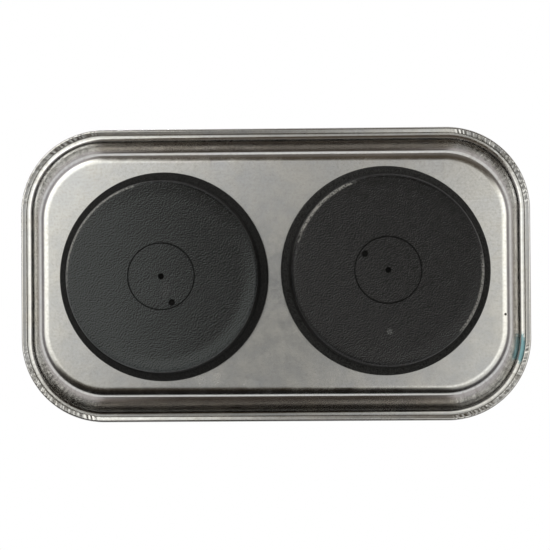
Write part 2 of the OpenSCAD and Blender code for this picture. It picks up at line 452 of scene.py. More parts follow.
class SweptTree:
    """A geometry node tree that carries a section round a route and then shapes it further."""

    def __init__(self, name: str, sizes: dict[str, float]) -> None:
        """Starts the tree with its inputs: the route, the section, the material and the sizes.

        Args:
            name: the tree's name.
            sizes: the piece's own sizes by name, with counts as whole numbers.
        """
        self.tree = bpy.data.node_groups.new(name, "GeometryNodeTree")
        self.wires = Wiring(self.tree)
        self.sizes = sizes
        self.sockets: dict[str, str] = {}
        for way in ("INPUT", "OUTPUT"):
            self.tree.interface.new_socket("Geometry", in_out=way, socket_type="NodeSocketGeometry")
        kinds = {"Section": "NodeSocketObject", "Corner": VECTOR, "Material": "NodeSocketMaterial"}
        for label, size in sizes.items():
            kinds[label] = "NodeSocketInt" if isinstance(size, int) else FLOAT
        for label, kind in kinds.items():
            made = self.tree.interface.new_socket(label, in_out="INPUT", socket_type=kind)
            self.sockets[label] = made.identifier
        self.given = self.tree.nodes.new("NodeGroupInput").outputs

    def named(self, name: str, kind: str = "FLOAT") -> Socket:
        """Reads one attribute."""
        node = self.wires.add("GeometryNodeInputNamedAttribute", {"Name": name}, data_type=kind)
        return node.outputs[0]

    def sweep(self) -> Socket:
        """Carries the section round the route and sets each point by rule.

        Returns:
            The swept mesh's socket.
        """
        wires = self.wires
        section = wires.add("GeometryNodeObjectInfo", {"Object": self.given["Section"]})
        route = wires.add("GeometryNodeMeshToCurve", {"Mesh": self.given["Geometry"]})
        profile = wires.add("GeometryNodeMeshToCurve", {"Mesh": section.outputs["Geometry"]})
        swept = wires.add("GeometryNodeCurveToMesh", {
            "Curve": route.outputs[0], "Profile Curve": profile.outputs[0]})
        flare = self.named("flare")
        shrink = wires.vector("DIVIDE", wires.point(flare, flare), self.given["Corner"])
        foot = wires.vector("MULTIPLY", self.named("foot", "FLOAT_VECTOR"),
                            wires.vector("SUBTRACT", (1.0, 1.0, 1.0), shrink))
        reach = wires.vector("SCALE", self.named("outward", "FLOAT_VECTOR"),
                             wires.total(self.named("out"), flare))
        place = wires.vector("ADD", wires.vector("ADD", foot, reach), wires.point(z=self.named("up")))
        return wires.add("GeometryNodeSetPosition", {
            "Geometry": swept.outputs[0], "Position": place}).outputs[0]

    def shift(self, mesh: Socket, offset: object) -> Socket:
        """Shifts each point of a mesh by its own offset."""
        inputs = {"Geometry": mesh, "Offset": offset}
        return self.wires.add("GeometryNodeSetPosition", inputs).outputs[0]

    def close(self, mesh: Socket) -> None:
        """Ends the tree: merges doubles, shades smoothly, realises and sets the material.

        Args:
            mesh: the finished mesh.
        """
        steps = [("MergeByDistance", {"Distance": MERGE_WITHIN})]
        steps += [("RemoveAttribute", {"Name": label})
                  for label in ("foot", "outward", "out", "up", "flare")]
        steps += [("SetShadeSmooth", {}), ("RealizeInstances", {}),
                  ("SetMaterial", {"Material": self.given["Material"]})]
        for kind, inputs in steps:
            mesh = self.wires.add("GeometryNode" + kind, {"Geometry": mesh, **inputs}).outputs[0]
        self.wires.add("NodeGroupOutput", {0: mesh})

    def make(self, name: str, route: list[RoutePoint], section: list[SectionPoint],
             corner: Pair, material: bpy.types.Material) -> bpy.types.Object:
        """Runs the tree and turns its result into a plain mesh.

        Args:
            name: the piece's name.
            route: the closed route.
            section: the section, whose two ends meet on the route's feet or its own line.
            corner: the place of a corner's centre, which a flare moves inward.
            material: the piece's material.

        Returns:
            The finished piece.
        """
        piece = strand(name, route, True)
        profile = strand(name + "_section", section, False)
        modifier = piece.modifiers.new("sweep", "NODES")
        modifier.node_group = self.tree
        inputs = {"Section": profile, "Corner": (*corner, 1.0), "Material": material, **self.sizes}
        for label, value in inputs.items():
            modifier[self.sockets[label]] = value
        graph = bpy.context.evaluated_depsgraph_get()
        mesh = bpy.data.meshes.new_from_object(piece.evaluated_get(graph),
                                               preserve_all_data_layers=True, depsgraph=graph)
        piece.modifiers.remove(modifier)
        piece.data = mesh
        mesh.name = name
        bpy.data.objects.remove(profile)
        turn_outward(mesh)
        return piece


def settle(piece: bpy.types.Object, node: str) -> None:
    """Puts a finished piece on the body in place of its solid.

    Args:
        piece: the piece.
        node: the solid that it stands for.
    """
    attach(piece, BODY)
    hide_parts(node)
    log.info("%s: %d faces for %s", piece.name, len(piece.data.polygons), node)


@dataclass
class TrayPan:
    """The pan, pressed from one sheet: plate, leaning wall, narrow rim and a hem folded under it."""

    node: str = "tray_pan"
    corner_radius: float = 39.2 * MM
    base_corner: float = 25.66 * MM
    sheet: float = 0.6 * MM
    wall_lean: float = 22.2
    base_bend: float = 5.2 * MM
    rim_width: float = 3.6 * MM
    rim_bend: float = 2.5 * MM
    hem_lip: float = 2.7 * MM
    hem_gap: float = 0.6 * MM
    hem_tilt: float = 12.0
    raw_edge: float = 0.12 * MM
    pucker_pitch: float = 2.6 * MM
    pucker_depth: float = 0.13 * MM
    pucker_slant: float = 0.5
    pucker_fade: float = 0.3
    pucker_fold: Range = (0.06, 0.44)
    pucker_corner: Range = (0.05, 0.35)
    pucker_size: Range = (0.35, 0.65, 0.40, 1.0)
    size_grain: Grain = (0.55, 1.0)
    drift: float = 2.6
    drift_grain: Grain = (0.7, 1.0)
    corner_cells: int = 190
    cell: float = 3 * MM
    bend_steps: int = 10
    lip_steps: int = 5
    wall_steps: int = 6
    support: float = 0.4 * MM
    seed: float = 4.0
    low: Vector = field(init=False)
    high: Vector = field(init=False)

    def __post_init__(self) -> None:
        """Takes the outer size and the heights from the solid."""
        self.low, self.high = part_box(self.node)

    @property
    def corner(self) -> Pair:
        """Place of a corner's centre, as distances from the middle."""
        return (self.high.x - self.corner_radius, self.high.y - self.corner_radius)

    @property
    def rim_centre(self) -> Pair:
        """Centre of the bend under the rim, outward from a corner's centre and up."""
        return (self.corner_radius - self.rim_width, self.high.z - self.sheet - self.rim_bend)

    @property
    def plate_centre(self) -> Pair:
        """Centre of the bend round the plate.

        Returns:
            The centre, outward from a corner's centre and up.
        """
        lean, bend = math.radians(self.wall_lean), self.base_bend + self.sheet
        head = self.rim_centre[1] + self.rim_bend * math.sin(lean)
        rise = head - self.low.z - bend * (1 - math.sin(lean))
        foot = self.rim_centre[0] - self.rim_bend * math.cos(lean) - rise * math.tan(lean)
        return (foot - bend * math.cos(lean), self.low.z + bend)

    @property
    def flare(self) -> float:
        """Distance that the plate's corner centres lie inside the rim's, along and across the tray."""
        return self.base_corner - self.plate_centre[0]

    def flares(self) -> tuple[list[float], list[float], list[float]]:
        """How the corners' centres move down the wall, eased through both bends.

        Returns:
            The flare through the rim's bend, down the wall and through the plate's bend.
        """
        lean, steps = math.radians(self.wall_lean), self.bend_steps
        turn = math.pi / 2 - lean
        rim = self.rim_bend * turn / 2
        base = (self.base_bend + self.sheet) * turn / 2
        bends = self.rim_bend + self.base_bend + self.sheet
        drop = self.rim_centre[1] - self.plate_centre[1] + bends * math.sin(lean)
        run = rim + drop / math.cos(lean) + base
        shares = [step / steps for step in range(steps + 1)]
        through_rim = [self.flare * rim / run * share ** 2 for share in shares]
        through_base = [self.flare * (1 - base / run * (1 - share) ** 2) for share in shares]
        down = line((through_rim[-1], 0), (through_base[0], 0), self.wall_steps)
        return through_rim, [flare for flare, _ in down], through_base

    @staticmethod
    def stretch(places: list[Pair], flares: list[float], under: float,
                drawn: Pair = (1.0, 1.0)) -> list[SectionPoint]:
        """Section points of one stretch of the sheet.

        Args:
            places: the points' places.
            flares: the flare at each point.
            under: 1 on the underside and 0 on the top.
            drawn: how far the sheet is drawn at the first point and at the last.

        Returns:
            The section points.
        """
        first, last = drawn
        steps = len(places) - 1
        return [SectionPoint(*place, flare, drawn=first + (last - first) * step / steps, under=under)
                for step, (place, flare) in enumerate(zip(places, flares))]

    def section(self) -> list[SectionPoint]:
        """Section from a corner's centre along the underside, round the hem and back along the top.

        Returns:
            The section's points.
        """
        steps, sheet, flare = self.bend_steps, self.sheet, self.flare
        rim, plate = self.rim_centre, self.plate_centre
        through_rim, down, through_base = self.flares()
        under_bend = arc(plate, self.base_bend + sheet, -90, -self.wall_lean, steps)
        under_rim = arc(rim, self.rim_bend, 180 - self.wall_lean, 90, steps)
        top_rim = arc(rim, self.rim_bend + sheet, 90, 180 - self.wall_lean, steps)
        top_bend = arc(plate, self.base_bend, -self.wall_lean, -90, steps)
        under_wall = line(under_bend[-1], under_rim[0], self.wall_steps)
        top_wall = line(top_rim[-1], top_bend[0], self.wall_steps)
        flat = (-flare, plate[0] / 2, plate[0] - self.support)
        points = [SectionPoint(out, self.low.z, flare, under=1.0) for out in flat]
        points += self.stretch(under_bend, through_base[::-1], 1.0, (0.0, 1.0))
        points += self.stretch(under_wall[1:-1], down[::-1][1:-1], 1.0)
        points += self.stretch(under_rim, through_rim[::-1], 1.0)
        points += self.hem()
        points += self.stretch(top_rim, through_rim, 0.0)
        points += self.stretch(top_wall[1:-1], down[1:-1], 0.0)
        points += self.stretch(top_bend, through_base, 0.0, (1.0, 0.0))
        points += [SectionPoint(out, self.low.z + sheet, flare) for out in reversed(flat)]
        return points

    def hem(self) -> list[SectionPoint]:
        """Part of the section from the rim's underside round the folded lip to the rim's top.

        Returns:
            The hem's points, with the lip's raw edge slightly rounded.
        """
        inside, steps, edge = self.hem_gap / 2, self.bend_steps, self.raw_edge
        outside = inside + self.sheet
        centre = (self.corner_radius - outside, self.high.z - outside)
        tilt = math.radians(self.hem_tilt)
        end = self.corner_radius - self.hem_lip
        middle = centre[1] + (centre[0] - end) * math.tan(tilt)
        inner = arc(centre, inside, 90, -90 - self.hem_tilt, steps)
        outer = arc(centre, outside, -90 - self.hem_tilt, 90, 2 * steps)
        upper = (end, middle - inside / math.cos(tilt))
        lower = (end, middle - outside / math.cos(tilt))
        lip = line(inner[-1], (end + edge, upper[1] - edge * math.tan(tilt)), self.lip_steps)[1:]
        lip += [(end, upper[1] - edge), (end, lower[1] + edge)]
        lip += line((end + edge, lower[1] - edge * math.tan(tilt)), outer[0], self.lip_steps)[:-1]
        points = [SectionPoint(*place, hem=step / steps, drawn=1.0, under=1.0)
                  for step, place in enumerate(inner)]
        points += [SectionPoint(*place, hem=1.0, drawn=1.0, under=1.0) for place in lip]
        points += [SectionPoint(*place, hem=max(0.0, 1 - step / steps), drawn=1.0,
                                under=float(step < steps)) for step, place in enumerate(outer)]
        return points

    def cells(self, length: float) -> int:
        """Number of cells along a straight side."""
        return round(length / self.cell)

    def route(self) -> list[RoutePoint]:
        """The rounded rectangle of the corners' centres and the straight sides between them.

        Returns:
            The route's points, counter-clockwise from the right side's upper end.
        """
        across, upward = self.corner
        points: list[RoutePoint] = []
        along = 0.0
        for quarter in range(4):
            start = math.pi / 2 * quarter
            foot = (-across if quarter in (1, 2) else across, -upward if quarter in (2, 3) else upward)
            for cell in range(self.corner_cells):
                share = cell / self.corner_cells
                turn = start + math.pi / 2 * share
                weight = min(1.0, share / self.pucker_fade, (1 - share) / self.pucker_fade)
                points.append(RoutePoint(foot, (math.cos(turn), math.sin(turn)), along, weight))
                along += self.corner_radius * math.pi / 2 / self.corner_cells
            outward = (round(math.cos(start + math.pi / 2)), round(math.sin(start + math.pi / 2)))
            length = 2 * (across if outward[1] else upward)
            cells = self.cells(length)
            for cell in range(cells):
                ahead = length * cell / cells
                place = (foot[0] - outward[1] * ahead, foot[1] + outward[0] * ahead)
                points.append(RoutePoint(place, outward, along))
                along += length / cells
        return points

    def tree(self) -> SweptTree:
        """Node tree of the pan: the sweep, the flat of the plate and the puckers of the hem.

        Returns:
            The finished tree.
        """
        across, upward = self.corner
        made = SweptTree("pressed_pan", {
            "Flat Length": 2 * (across - self.flare), "Flat Width": 2 * (upward - self.flare),
            "Cells Long": self.cells(2 * across) + 1, "Cells Wide": self.cells(2 * upward) + 1,
            "Sheet": self.sheet, "Base Height": self.low.z, "Pucker Pitch": self.pucker_pitch,
            "Pucker Depth": self.pucker_depth, "Pucker Slant": self.pucker_slant, "Seed": self.seed})
        wires, given = made.wires, made.given
        joined = wires.add("GeometryNodeJoinGeometry")
        wires.put(joined.inputs[0], made.sweep())
        flat = wires.add("GeometryNodeMeshGrid", {
            "Size X": given["Flat Length"], "Size Y": given["Flat Width"],
            "Vertices X": given["Cells Long"], "Vertices Y": given["Cells Wide"]}).outputs[0]
        for height in (given["Base Height"], wires.total(given["Base Height"], given["Sheet"])):
            wires.put(joined.inputs[0], made.shift(flat, wires.point(z=height)))
        made.close(made.shift(joined.outputs[0], self.puckers(made)))
        return made

    def puckers(self, made: SweptTree) -> Socket:
        """Shift of the hem's points where the folded lip gathers round a corner.

        Args:
            made: the tree to work in.

        Returns:
            The shift's socket.
        """
        wires, given = made.wires, made.given
        skew = wires.product(made.named("out"), given["Pucker Slant"])
        place = wires.math("DIVIDE", wires.total(made.named("along"), skew), given["Pucker Pitch"])
        spot = wires.point(place, given["Seed"])
        drift = wires.product(wires.noise(spot, *self.drift_grain), self.drift)
        wave = wires.math("PINGPONG", wires.total(place, drift), 0.5)
        fold = wires.span(wave, *self.pucker_fold)
        size = wires.span(wires.noise(spot, *self.size_grain), *self.pucker_size)
        gathered = wires.span(made.named("corner"), *self.pucker_corner)
        depth = wires.product(fold, size, made.named("hem"), gathered, given["Pucker Depth"])
        return wires.point(z=depth)

    def build(self, material: bpy.types.Material) -> None:
        """Makes the pan in its material and puts it in place of its solid."""
        pan = self.tree().make("pan", self.route(), self.section(), self.corner, material)
        settle(pan, self.node)


@dataclass
class MagnetCover:
    """One moulded cover: grained face, leaning side, sloping brim, marks and the snap groove inside."""

    side: Side
    gate_turn: float
    floor: float = 2.3 * MM
    draft: float = 8.0
    face_round: float = 2.0 * MM
    crown: float = 0.3 * MM
    crown_width: float = 5.0 * MM
    brim_width: float = 3.6 * MM
    brim_edge: float = 4 * MM
    brim_slope: float = 0.6 * MM
    brim_round: float = 1.2 * MM
    ledge_round: float = 0.7 * MM
    groove_r: float = 39.3 * MM
    groove_top: float = 3.8 * MM
    cavity_r: float = 37.9 * MM
    pit_r: float = 1.3 * MM
    pit_roof: float = 0.5 * MM
    circle_r: float = 14.4 * MM
    circle_half: float = 0.25 * MM
    circle_depth: float = 0.4 * MM
    gate_r: float = 1.3 * MM
    gate_soft: float = 0.2 * MM
    gate_depth: float = 1.0 * MM
    gate_offset: float = 12.2 * MM
    mark_depth: float = 4 * MM
    edge_start: float = 0.15
    edge_rise: float = 3.0
    soft: float = 0.08 * MM
    support: float = 0.32 * MM
    cells: int = 360
    steps: int = 10
    middle_steps: int = 8
    gate_steps: int = 24
    face_steps: int = 12
    low: Vector = field(init=False)
    high: Vector = field(init=False)

    def __post_init__(self) -> None:
        """Takes the outer size and the heights from the solid."""
        self.low, self.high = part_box(self.node)

    @property
    def node(self) -> str:
        """Name of the solid."""
        return f"{self.side.value}_magnet_cover"

    @property
    def centre(self) -> Pair:
        """Middle of the cover."""
        return ((self.low.x + self.high.x) / 2, (self.low.y + self.high.y) / 2)

    def face(self) -> list[Pair]:
        """Section of the face from the pit in its middle out past the moulded circle.

        Returns:
            The points.
        """
        soft = self.soft
        pit = self.floor - self.pit_roof
        gate_in = self.gate_offset - self.gate_r - self.gate_soft
        gate_out = self.gate_offset + self.gate_r + self.gate_soft
        groove_in = self.circle_r - self.circle_half
        groove_out = self.circle_r + self.circle_half
        places = [(0.0, pit), (self.pit_r / 2, pit), (self.pit_r - soft, pit), (self.pit_r, pit - soft)]
        places += [(self.pit_r, soft), (self.pit_r + soft, 0.0)]
        places += line((self.pit_r + self.support, 0.0), (gate_in, 0.0), self.middle_steps)
        places += line((gate_in, 0.0), (gate_out, 0.0), self.gate_steps)[1:]
        places += [(groove_in - soft, 0.0), (groove_in + soft, self.circle_depth)]
        places += [(groove_out - soft, self.circle_depth), (groove_out + soft, 0.0)]
        return places

    def brim(self, ledge: Pair) -> list[Pair]:
        """Section of the brim, from the foot of the leaning side round to the brim's top.

        Args:
            ledge: the sharp corner between the side and the brim.

        Returns:
            The points.
        """
        top, slope = self.high.z, math.radians(self.draft)
        lean = math.atan2(self.brim_slope, self.brim_width)
        brim_r = ledge[0] + self.brim_width
        before = (ledge[0] - self.ledge_round * math.sin(slope),
                  ledge[1] - self.ledge_round * math.cos(slope))
        after = (ledge[0] + self.ledge_round * math.cos(lean),
                 ledge[1] + self.ledge_round * math.sin(lean))
        middle = ((before[0] + after[0] + 2 * ledge[0]) / 4, (before[1] + after[1] + 2 * ledge[1]) / 4)
        edge = (brim_r - self.brim_round,
                top - self.brim_edge + self.brim_round * (1 / math.cos(lean) - math.tan(lean)))
        rounded = arc(edge, self.brim_round, math.degrees(lean) - 90, 0, self.steps)
        return [before, middle, after, *rounded, (brim_r, top - self.soft), (brim_r - self.soft, top)]

    def section(self) -> list[SectionPoint]:
        """Section from the pit across the face, up the side and back through the inside.

        Returns:
            The section's points.
        """
        slope, start = math.radians(self.draft), self.edge_start
        ledge = ((self.high.x - self.low.x) / 2 - self.brim_width,
                 self.high.z - self.brim_edge - self.brim_slope)
        turn = math.atan2(2 * self.crown, self.crown_width)
        rise = self.crown - self.face_round * (1 - math.cos(turn))
        inset = self.face_round * (math.tan(slope) - 1 / math.cos(slope)) + rise * math.tan(slope)
        centre = (ledge[0] - ledge[1] * math.tan(slope) + inset, self.face_round + rise)
        flat_r = centre[0] + self.face_round * math.sin(turn) - self.crown_width
        face = self.face()
        face += line((face[-1][0] + self.support, 0.0), (flat_r, 0.0), self.face_steps)
        shares = [step / self.steps for step in range(self.steps + 1)]
        rounded = arc(centre, self.face_round, math.degrees(turn) - 90, -self.draft, self.steps)
        below = (rounded[-1][0] + self.support * math.sin(slope),
                 rounded[-1][1] + self.support * math.cos(slope))
        outer = [below, *self.brim(ledge), (self.cavity_r, self.high.z)]
        outer += [(self.cavity_r, self.groove_top), (self.groove_r, self.groove_top)]
        outer += [(self.groove_r, self.floor), (self.groove_r / 2, self.floor), (0.0, self.floor)]
        points = [SectionPoint(*place, under=1.0) for place in face]
        points += [SectionPoint(flat_r + self.crown_width * share, self.crown * share ** 2, under=1.0,
                                edge=max(0.0, self.edge_rise * (share - 1 + start)))
                   for share in shares[1:-1]]
        points += [SectionPoint(*place, under=1.0,
                                edge=math.sin(math.pi * (start + (1 - start) * share)))
                   for share, place in zip(shares, rounded)]
        points += [SectionPoint(*place, under=1.0, flank=1.0) for place in outer]
        return points

    def route(self) -> list[RoutePoint]:
        """The turn that the section makes about the cover's middle."""
        turns = [2 * math.pi * cell / self.cells for cell in range(self.cells)]
        return [RoutePoint(self.centre, (math.cos(turn), math.sin(turn)), turn) for turn in turns]

    def tree(self) -> SweptTree:
        """Node tree of a cover: the turned section and the pit that the gate leaves.

        Returns:
            The finished tree.
        """
        turn = math.radians(self.gate_turn)
        made = SweptTree(f"{self.side.value}_moulded_cover", {
            "Gate X": self.centre[0] + self.gate_offset * math.cos(turn),
            "Gate Y": self.centre[1] + self.gate_offset * math.sin(turn),
            "Gate Radius": self.gate_r, "Gate Soft": self.gate_soft, "Gate Depth": self.gate_depth})
        wires, given = made.wires, made.given
        mesh = made.sweep()
        place = wires.add("GeometryNodeInputPosition").outputs[0]
        away = wires.vector("DISTANCE", place, wires.point(given["Gate X"], given["Gate Y"]))
        past = wires.math("SUBTRACT", away, given["Gate Radius"])
        past = wires.math("DIVIDE", past, given["Gate Soft"])
        depth = wires.product(wires.span(past, -1.0, 1.0, 1.0, 0.0), given["Gate Depth"])
        made.close(made.shift(mesh, wires.point(z=depth)))
        return made

    def mark(self, x: float, y: float, reach_x: float, reach_y: float) -> Mark:
        """Places a mark on the face, by its offset from the middle and half its size in millimetres."""
        return Mark((self.centre[0] + x * MM, self.centre[1] + y * MM, 0.0),
                    (reach_x * MM, reach_y * MM, self.mark_depth))

    def build(self, material: bpy.types.Material) -> None:
        """Makes the cover and puts it in place of its solid.

        Args:
            material: the rubber's material.
        """
        name = f"{self.side.value}_cover"
        cover = self.tree().make(name, self.route(), self.section(), self.centre, material)
        settle(cover, self.node)


@dataclass(frozen=True)
class SteelFinish:
    """Bright pressed stainless sheet: cloudy satin plate, smoother drawn walls with streaks, and
    painted shade on the straight walls and in the hem's creases.

    Tints are shares of a colour, roughs are added to the roughness and reliefs are heights.
    """

    cool: Colour = (0.575, 0.58, 0.585, 1.0)
    warm: Colour = (0.625, 0.61, 0.575, 1.0)
    streaked: Colour = (0.38, 0.36, 0.33, 1.0)
    # Painted shade: the wall's two darker coats, on its straight stretches.
    painted_wall_shade: Colour = (0.34, 0.295, 0.245, 1.0)
    painted_upper_wall_shade: Colour = (0.23, 0.205, 0.18, 1.0)
    # Painted shade in the hem's creases.
    painted_crease_shade: Colour = (0.15, 0.14, 0.125, 1.0)
    dye: Colour = (0.10, 0.34, 0.40, 1.0)
    dirt: Colour = (0.03, 0.025, 0.02, 1.0)
    stain: Mark = Mark((115.2 * MM, 35.5 * MM, 37.0 * MM), (2.6 * MM, 7.5 * MM, 3.0 * MM))
    stain_tint: float = 0.8
    speck: Mark = Mark((102.3 * MM, 18.7 * MM, 14.0 * MM), (0.6 * MM, 0.6 * MM, 3.0 * MM))
    scuffs: tuple[Mark, ...] = (
        Mark((-30.0 * MM, 46.5 * MM, 13.5 * MM), (7 * MM, 3.5 * MM, 3 * MM), 1.6),
        Mark((-11.0 * MM, 49.0 * MM, 13.5 * MM), (4 * MM, 2.5 * MM, 3 * MM), 1.6))
    scuff_strength: float = 0.6
    scuff_rough: float = 0.08
    scuff_relief: float = -0.004 * MM
    metallic: Range = (0.0, 1.0, 1.0, 0.4)
    roughness: Range = (0.0, 1.0, 0.20, 0.16)
    tone_cells: float = 30.0
    tone_share: float = 0.7
    tone_relief: float = 0.04 * MM
    mottle_cells: float = 130.0
    mottle_rough: Range = (0.0, 1.0, -0.03, 0.03)
    mottle_relief: float = 0.006 * MM
    satin_grain: Grain = (900.0, 3.0, 0.6)
    satin_tint: Range = (0.4, 0.8, 0.0, 0.3)
    satin_rough: Range = (0.3, 0.7, -0.02, 0.02)
    brush_stretch: Triple = (0.12, 1.0, 1.0)
    brush_grain: Grain = (1500.0, 3.0, 0.6)
    brush_tint: Range = (0.45, 0.75, 0.0, 0.12)
    brush_rough: Range = (0.3, 0.7, -0.015, 0.015)
    brush_relief: float = 0.0006 * MM
    streak_stretch: float = 0.06
    streak_grain: Grain = (620.0, 2.0)
    streak_corner: Range = (0.0, 1.0, 0.25, 1.0)
    streak_tint: Range = (0.45, 0.75, 0.0, 0.5)
    streak_rough: Range = (0.3, 0.7, -0.04, 0.08)
    streak_relief: float = 0.008 * MM
    # Where the wall's painted shade lies: off the corners and the hem, below the rim's bend, and from
    # which heights.
    wall_sides: Range = (0.0, 0.5, 1.0, 0.0)
    wall_hem: Range = (0.0, 0.2, 1.0, 0.0)
    wall_top: Range = (34.8 * MM, 36.0 * MM, 1.0, 0.0)
    wall_shade_height: Range = (16.0 * MM, 20.0 * MM)
    upper_wall_shade_height: Range = (25.0 * MM, 33.0 * MM)
    rim_height: Range = (37.0 * MM, 37.3 * MM)
    # The painted shade in the hem's creases: its grain, its strength and the corners it keeps to.
    crease_grain: Grain = (560.0, 2.0)
    crease_tint: Range = (0.5, 0.6, 0.0, 0.55)
    crease_corner: Range = (0.3, 0.9)

    def material(self, effects: Effects) -> bpy.types.Material:
        """Makes the material.

        Args:
            effects: the shared groups.

        Returns:
            The material.
        """
        steel = Surface("pressed_stainless")
        place = steel.place
        height = steel.axes()[2]
        drawn, corner, under, hem, along = (
            steel.attribute(name) for name in ("drawn", "corner", "under", "hem", "along"))
        tone = effects.clouds.use(steel, Scale=self.tone_cells)
        mottle = effects.clouds.use(steel, Scale=self.mottle_cells)
        satin = steel.noise(place, *self.satin_grain)
        brush_place = steel.add("ShaderNodeMapping", {"Vector": place, "Scale": self.brush_stretch})
        brushed = steel.noise(brush_place.outputs[0], *self.brush_grain)
        flow = steel.point(along, steel.product(height, self.streak_stretch))
        streak = steel.noise(flow, *self.streak_grain)
        pulled = steel.product(drawn, steel.span(corner, *self.streak_corner))
        scuffs = steel.total(*[scuff.mask(effects, steel) for scuff in self.scuffs])
        scuffed = steel.product(scuffs, under, self.scuff_strength)
        # Painted shade on the straight stretches of the wall, deeper toward the rim.
        wall = steel.product(drawn, under, steel.span(corner, *self.wall_sides),
                             steel.span(hem, *self.wall_hem), steel.span(height, *self.wall_top))
        # Painted shade in the folds of the hem round the corners, on the underside.
        crease_shade = steel.span(steel.noise(place, *self.crease_grain), *self.crease_tint)
        crease_shade = steel.product(hem, under, steel.span(corner, *self.crease_corner), crease_shade)
        stain = steel.product(self.stain.mask(effects, steel), under,
                              steel.span(height, *self.rim_height))
        speck = steel.product(self.speck.mask(effects, steel), under)
        clouded = steel.total(steel.product(tone, self.tone_share),
                              steel.product(mottle, 1.0 - self.tone_share))
        # The wall's two darker coats and the creases' coat are painted shade; the stain and the speck
        # are real marks.
        colour = steel.coats(
            self.cool, (clouded, self.warm),
            (steel.span(satin, *self.satin_tint), self.streaked),
            (steel.product(wall, steel.span(height, *self.wall_shade_height)), self.painted_wall_shade),
            (steel.product(wall, steel.span(height, *self.upper_wall_shade_height)), self.painted_upper_wall_shade),
            (steel.span(brushed, *self.brush_tint), self.streaked),
            (steel.product(pulled, steel.span(streak, *self.streak_tint)), self.streaked),
            (crease_shade, self.painted_crease_shade), (steel.product(stain, self.stain_tint), self.dye),
            (speck, self.dirt))
        roughness = steel.total(
            steel.span(drawn, *self.roughness), steel.span(mottle, *self.mottle_rough),
            steel.span(brushed, *self.brush_rough), steel.span(satin, *self.satin_rough),
            steel.product(pulled, steel.span(streak, *self.streak_rough)),
            steel.product(scuffed, self.scuff_rough))
        relief = steel.total(
            steel.product(tone, self.tone_relief), steel.product(mottle, self.mottle_relief),
            steel.product(brushed, self.brush_relief),
            steel.product(pulled, streak, self.streak_relief),
            steel.product(scuffed, self.scuff_relief))
        metallic = steel.span(steel.total(stain, speck), *self.metallic)
        steel.put(steel.shader.inputs["Metallic"], metallic)
        return steel.fill(colour, roughness, relief)


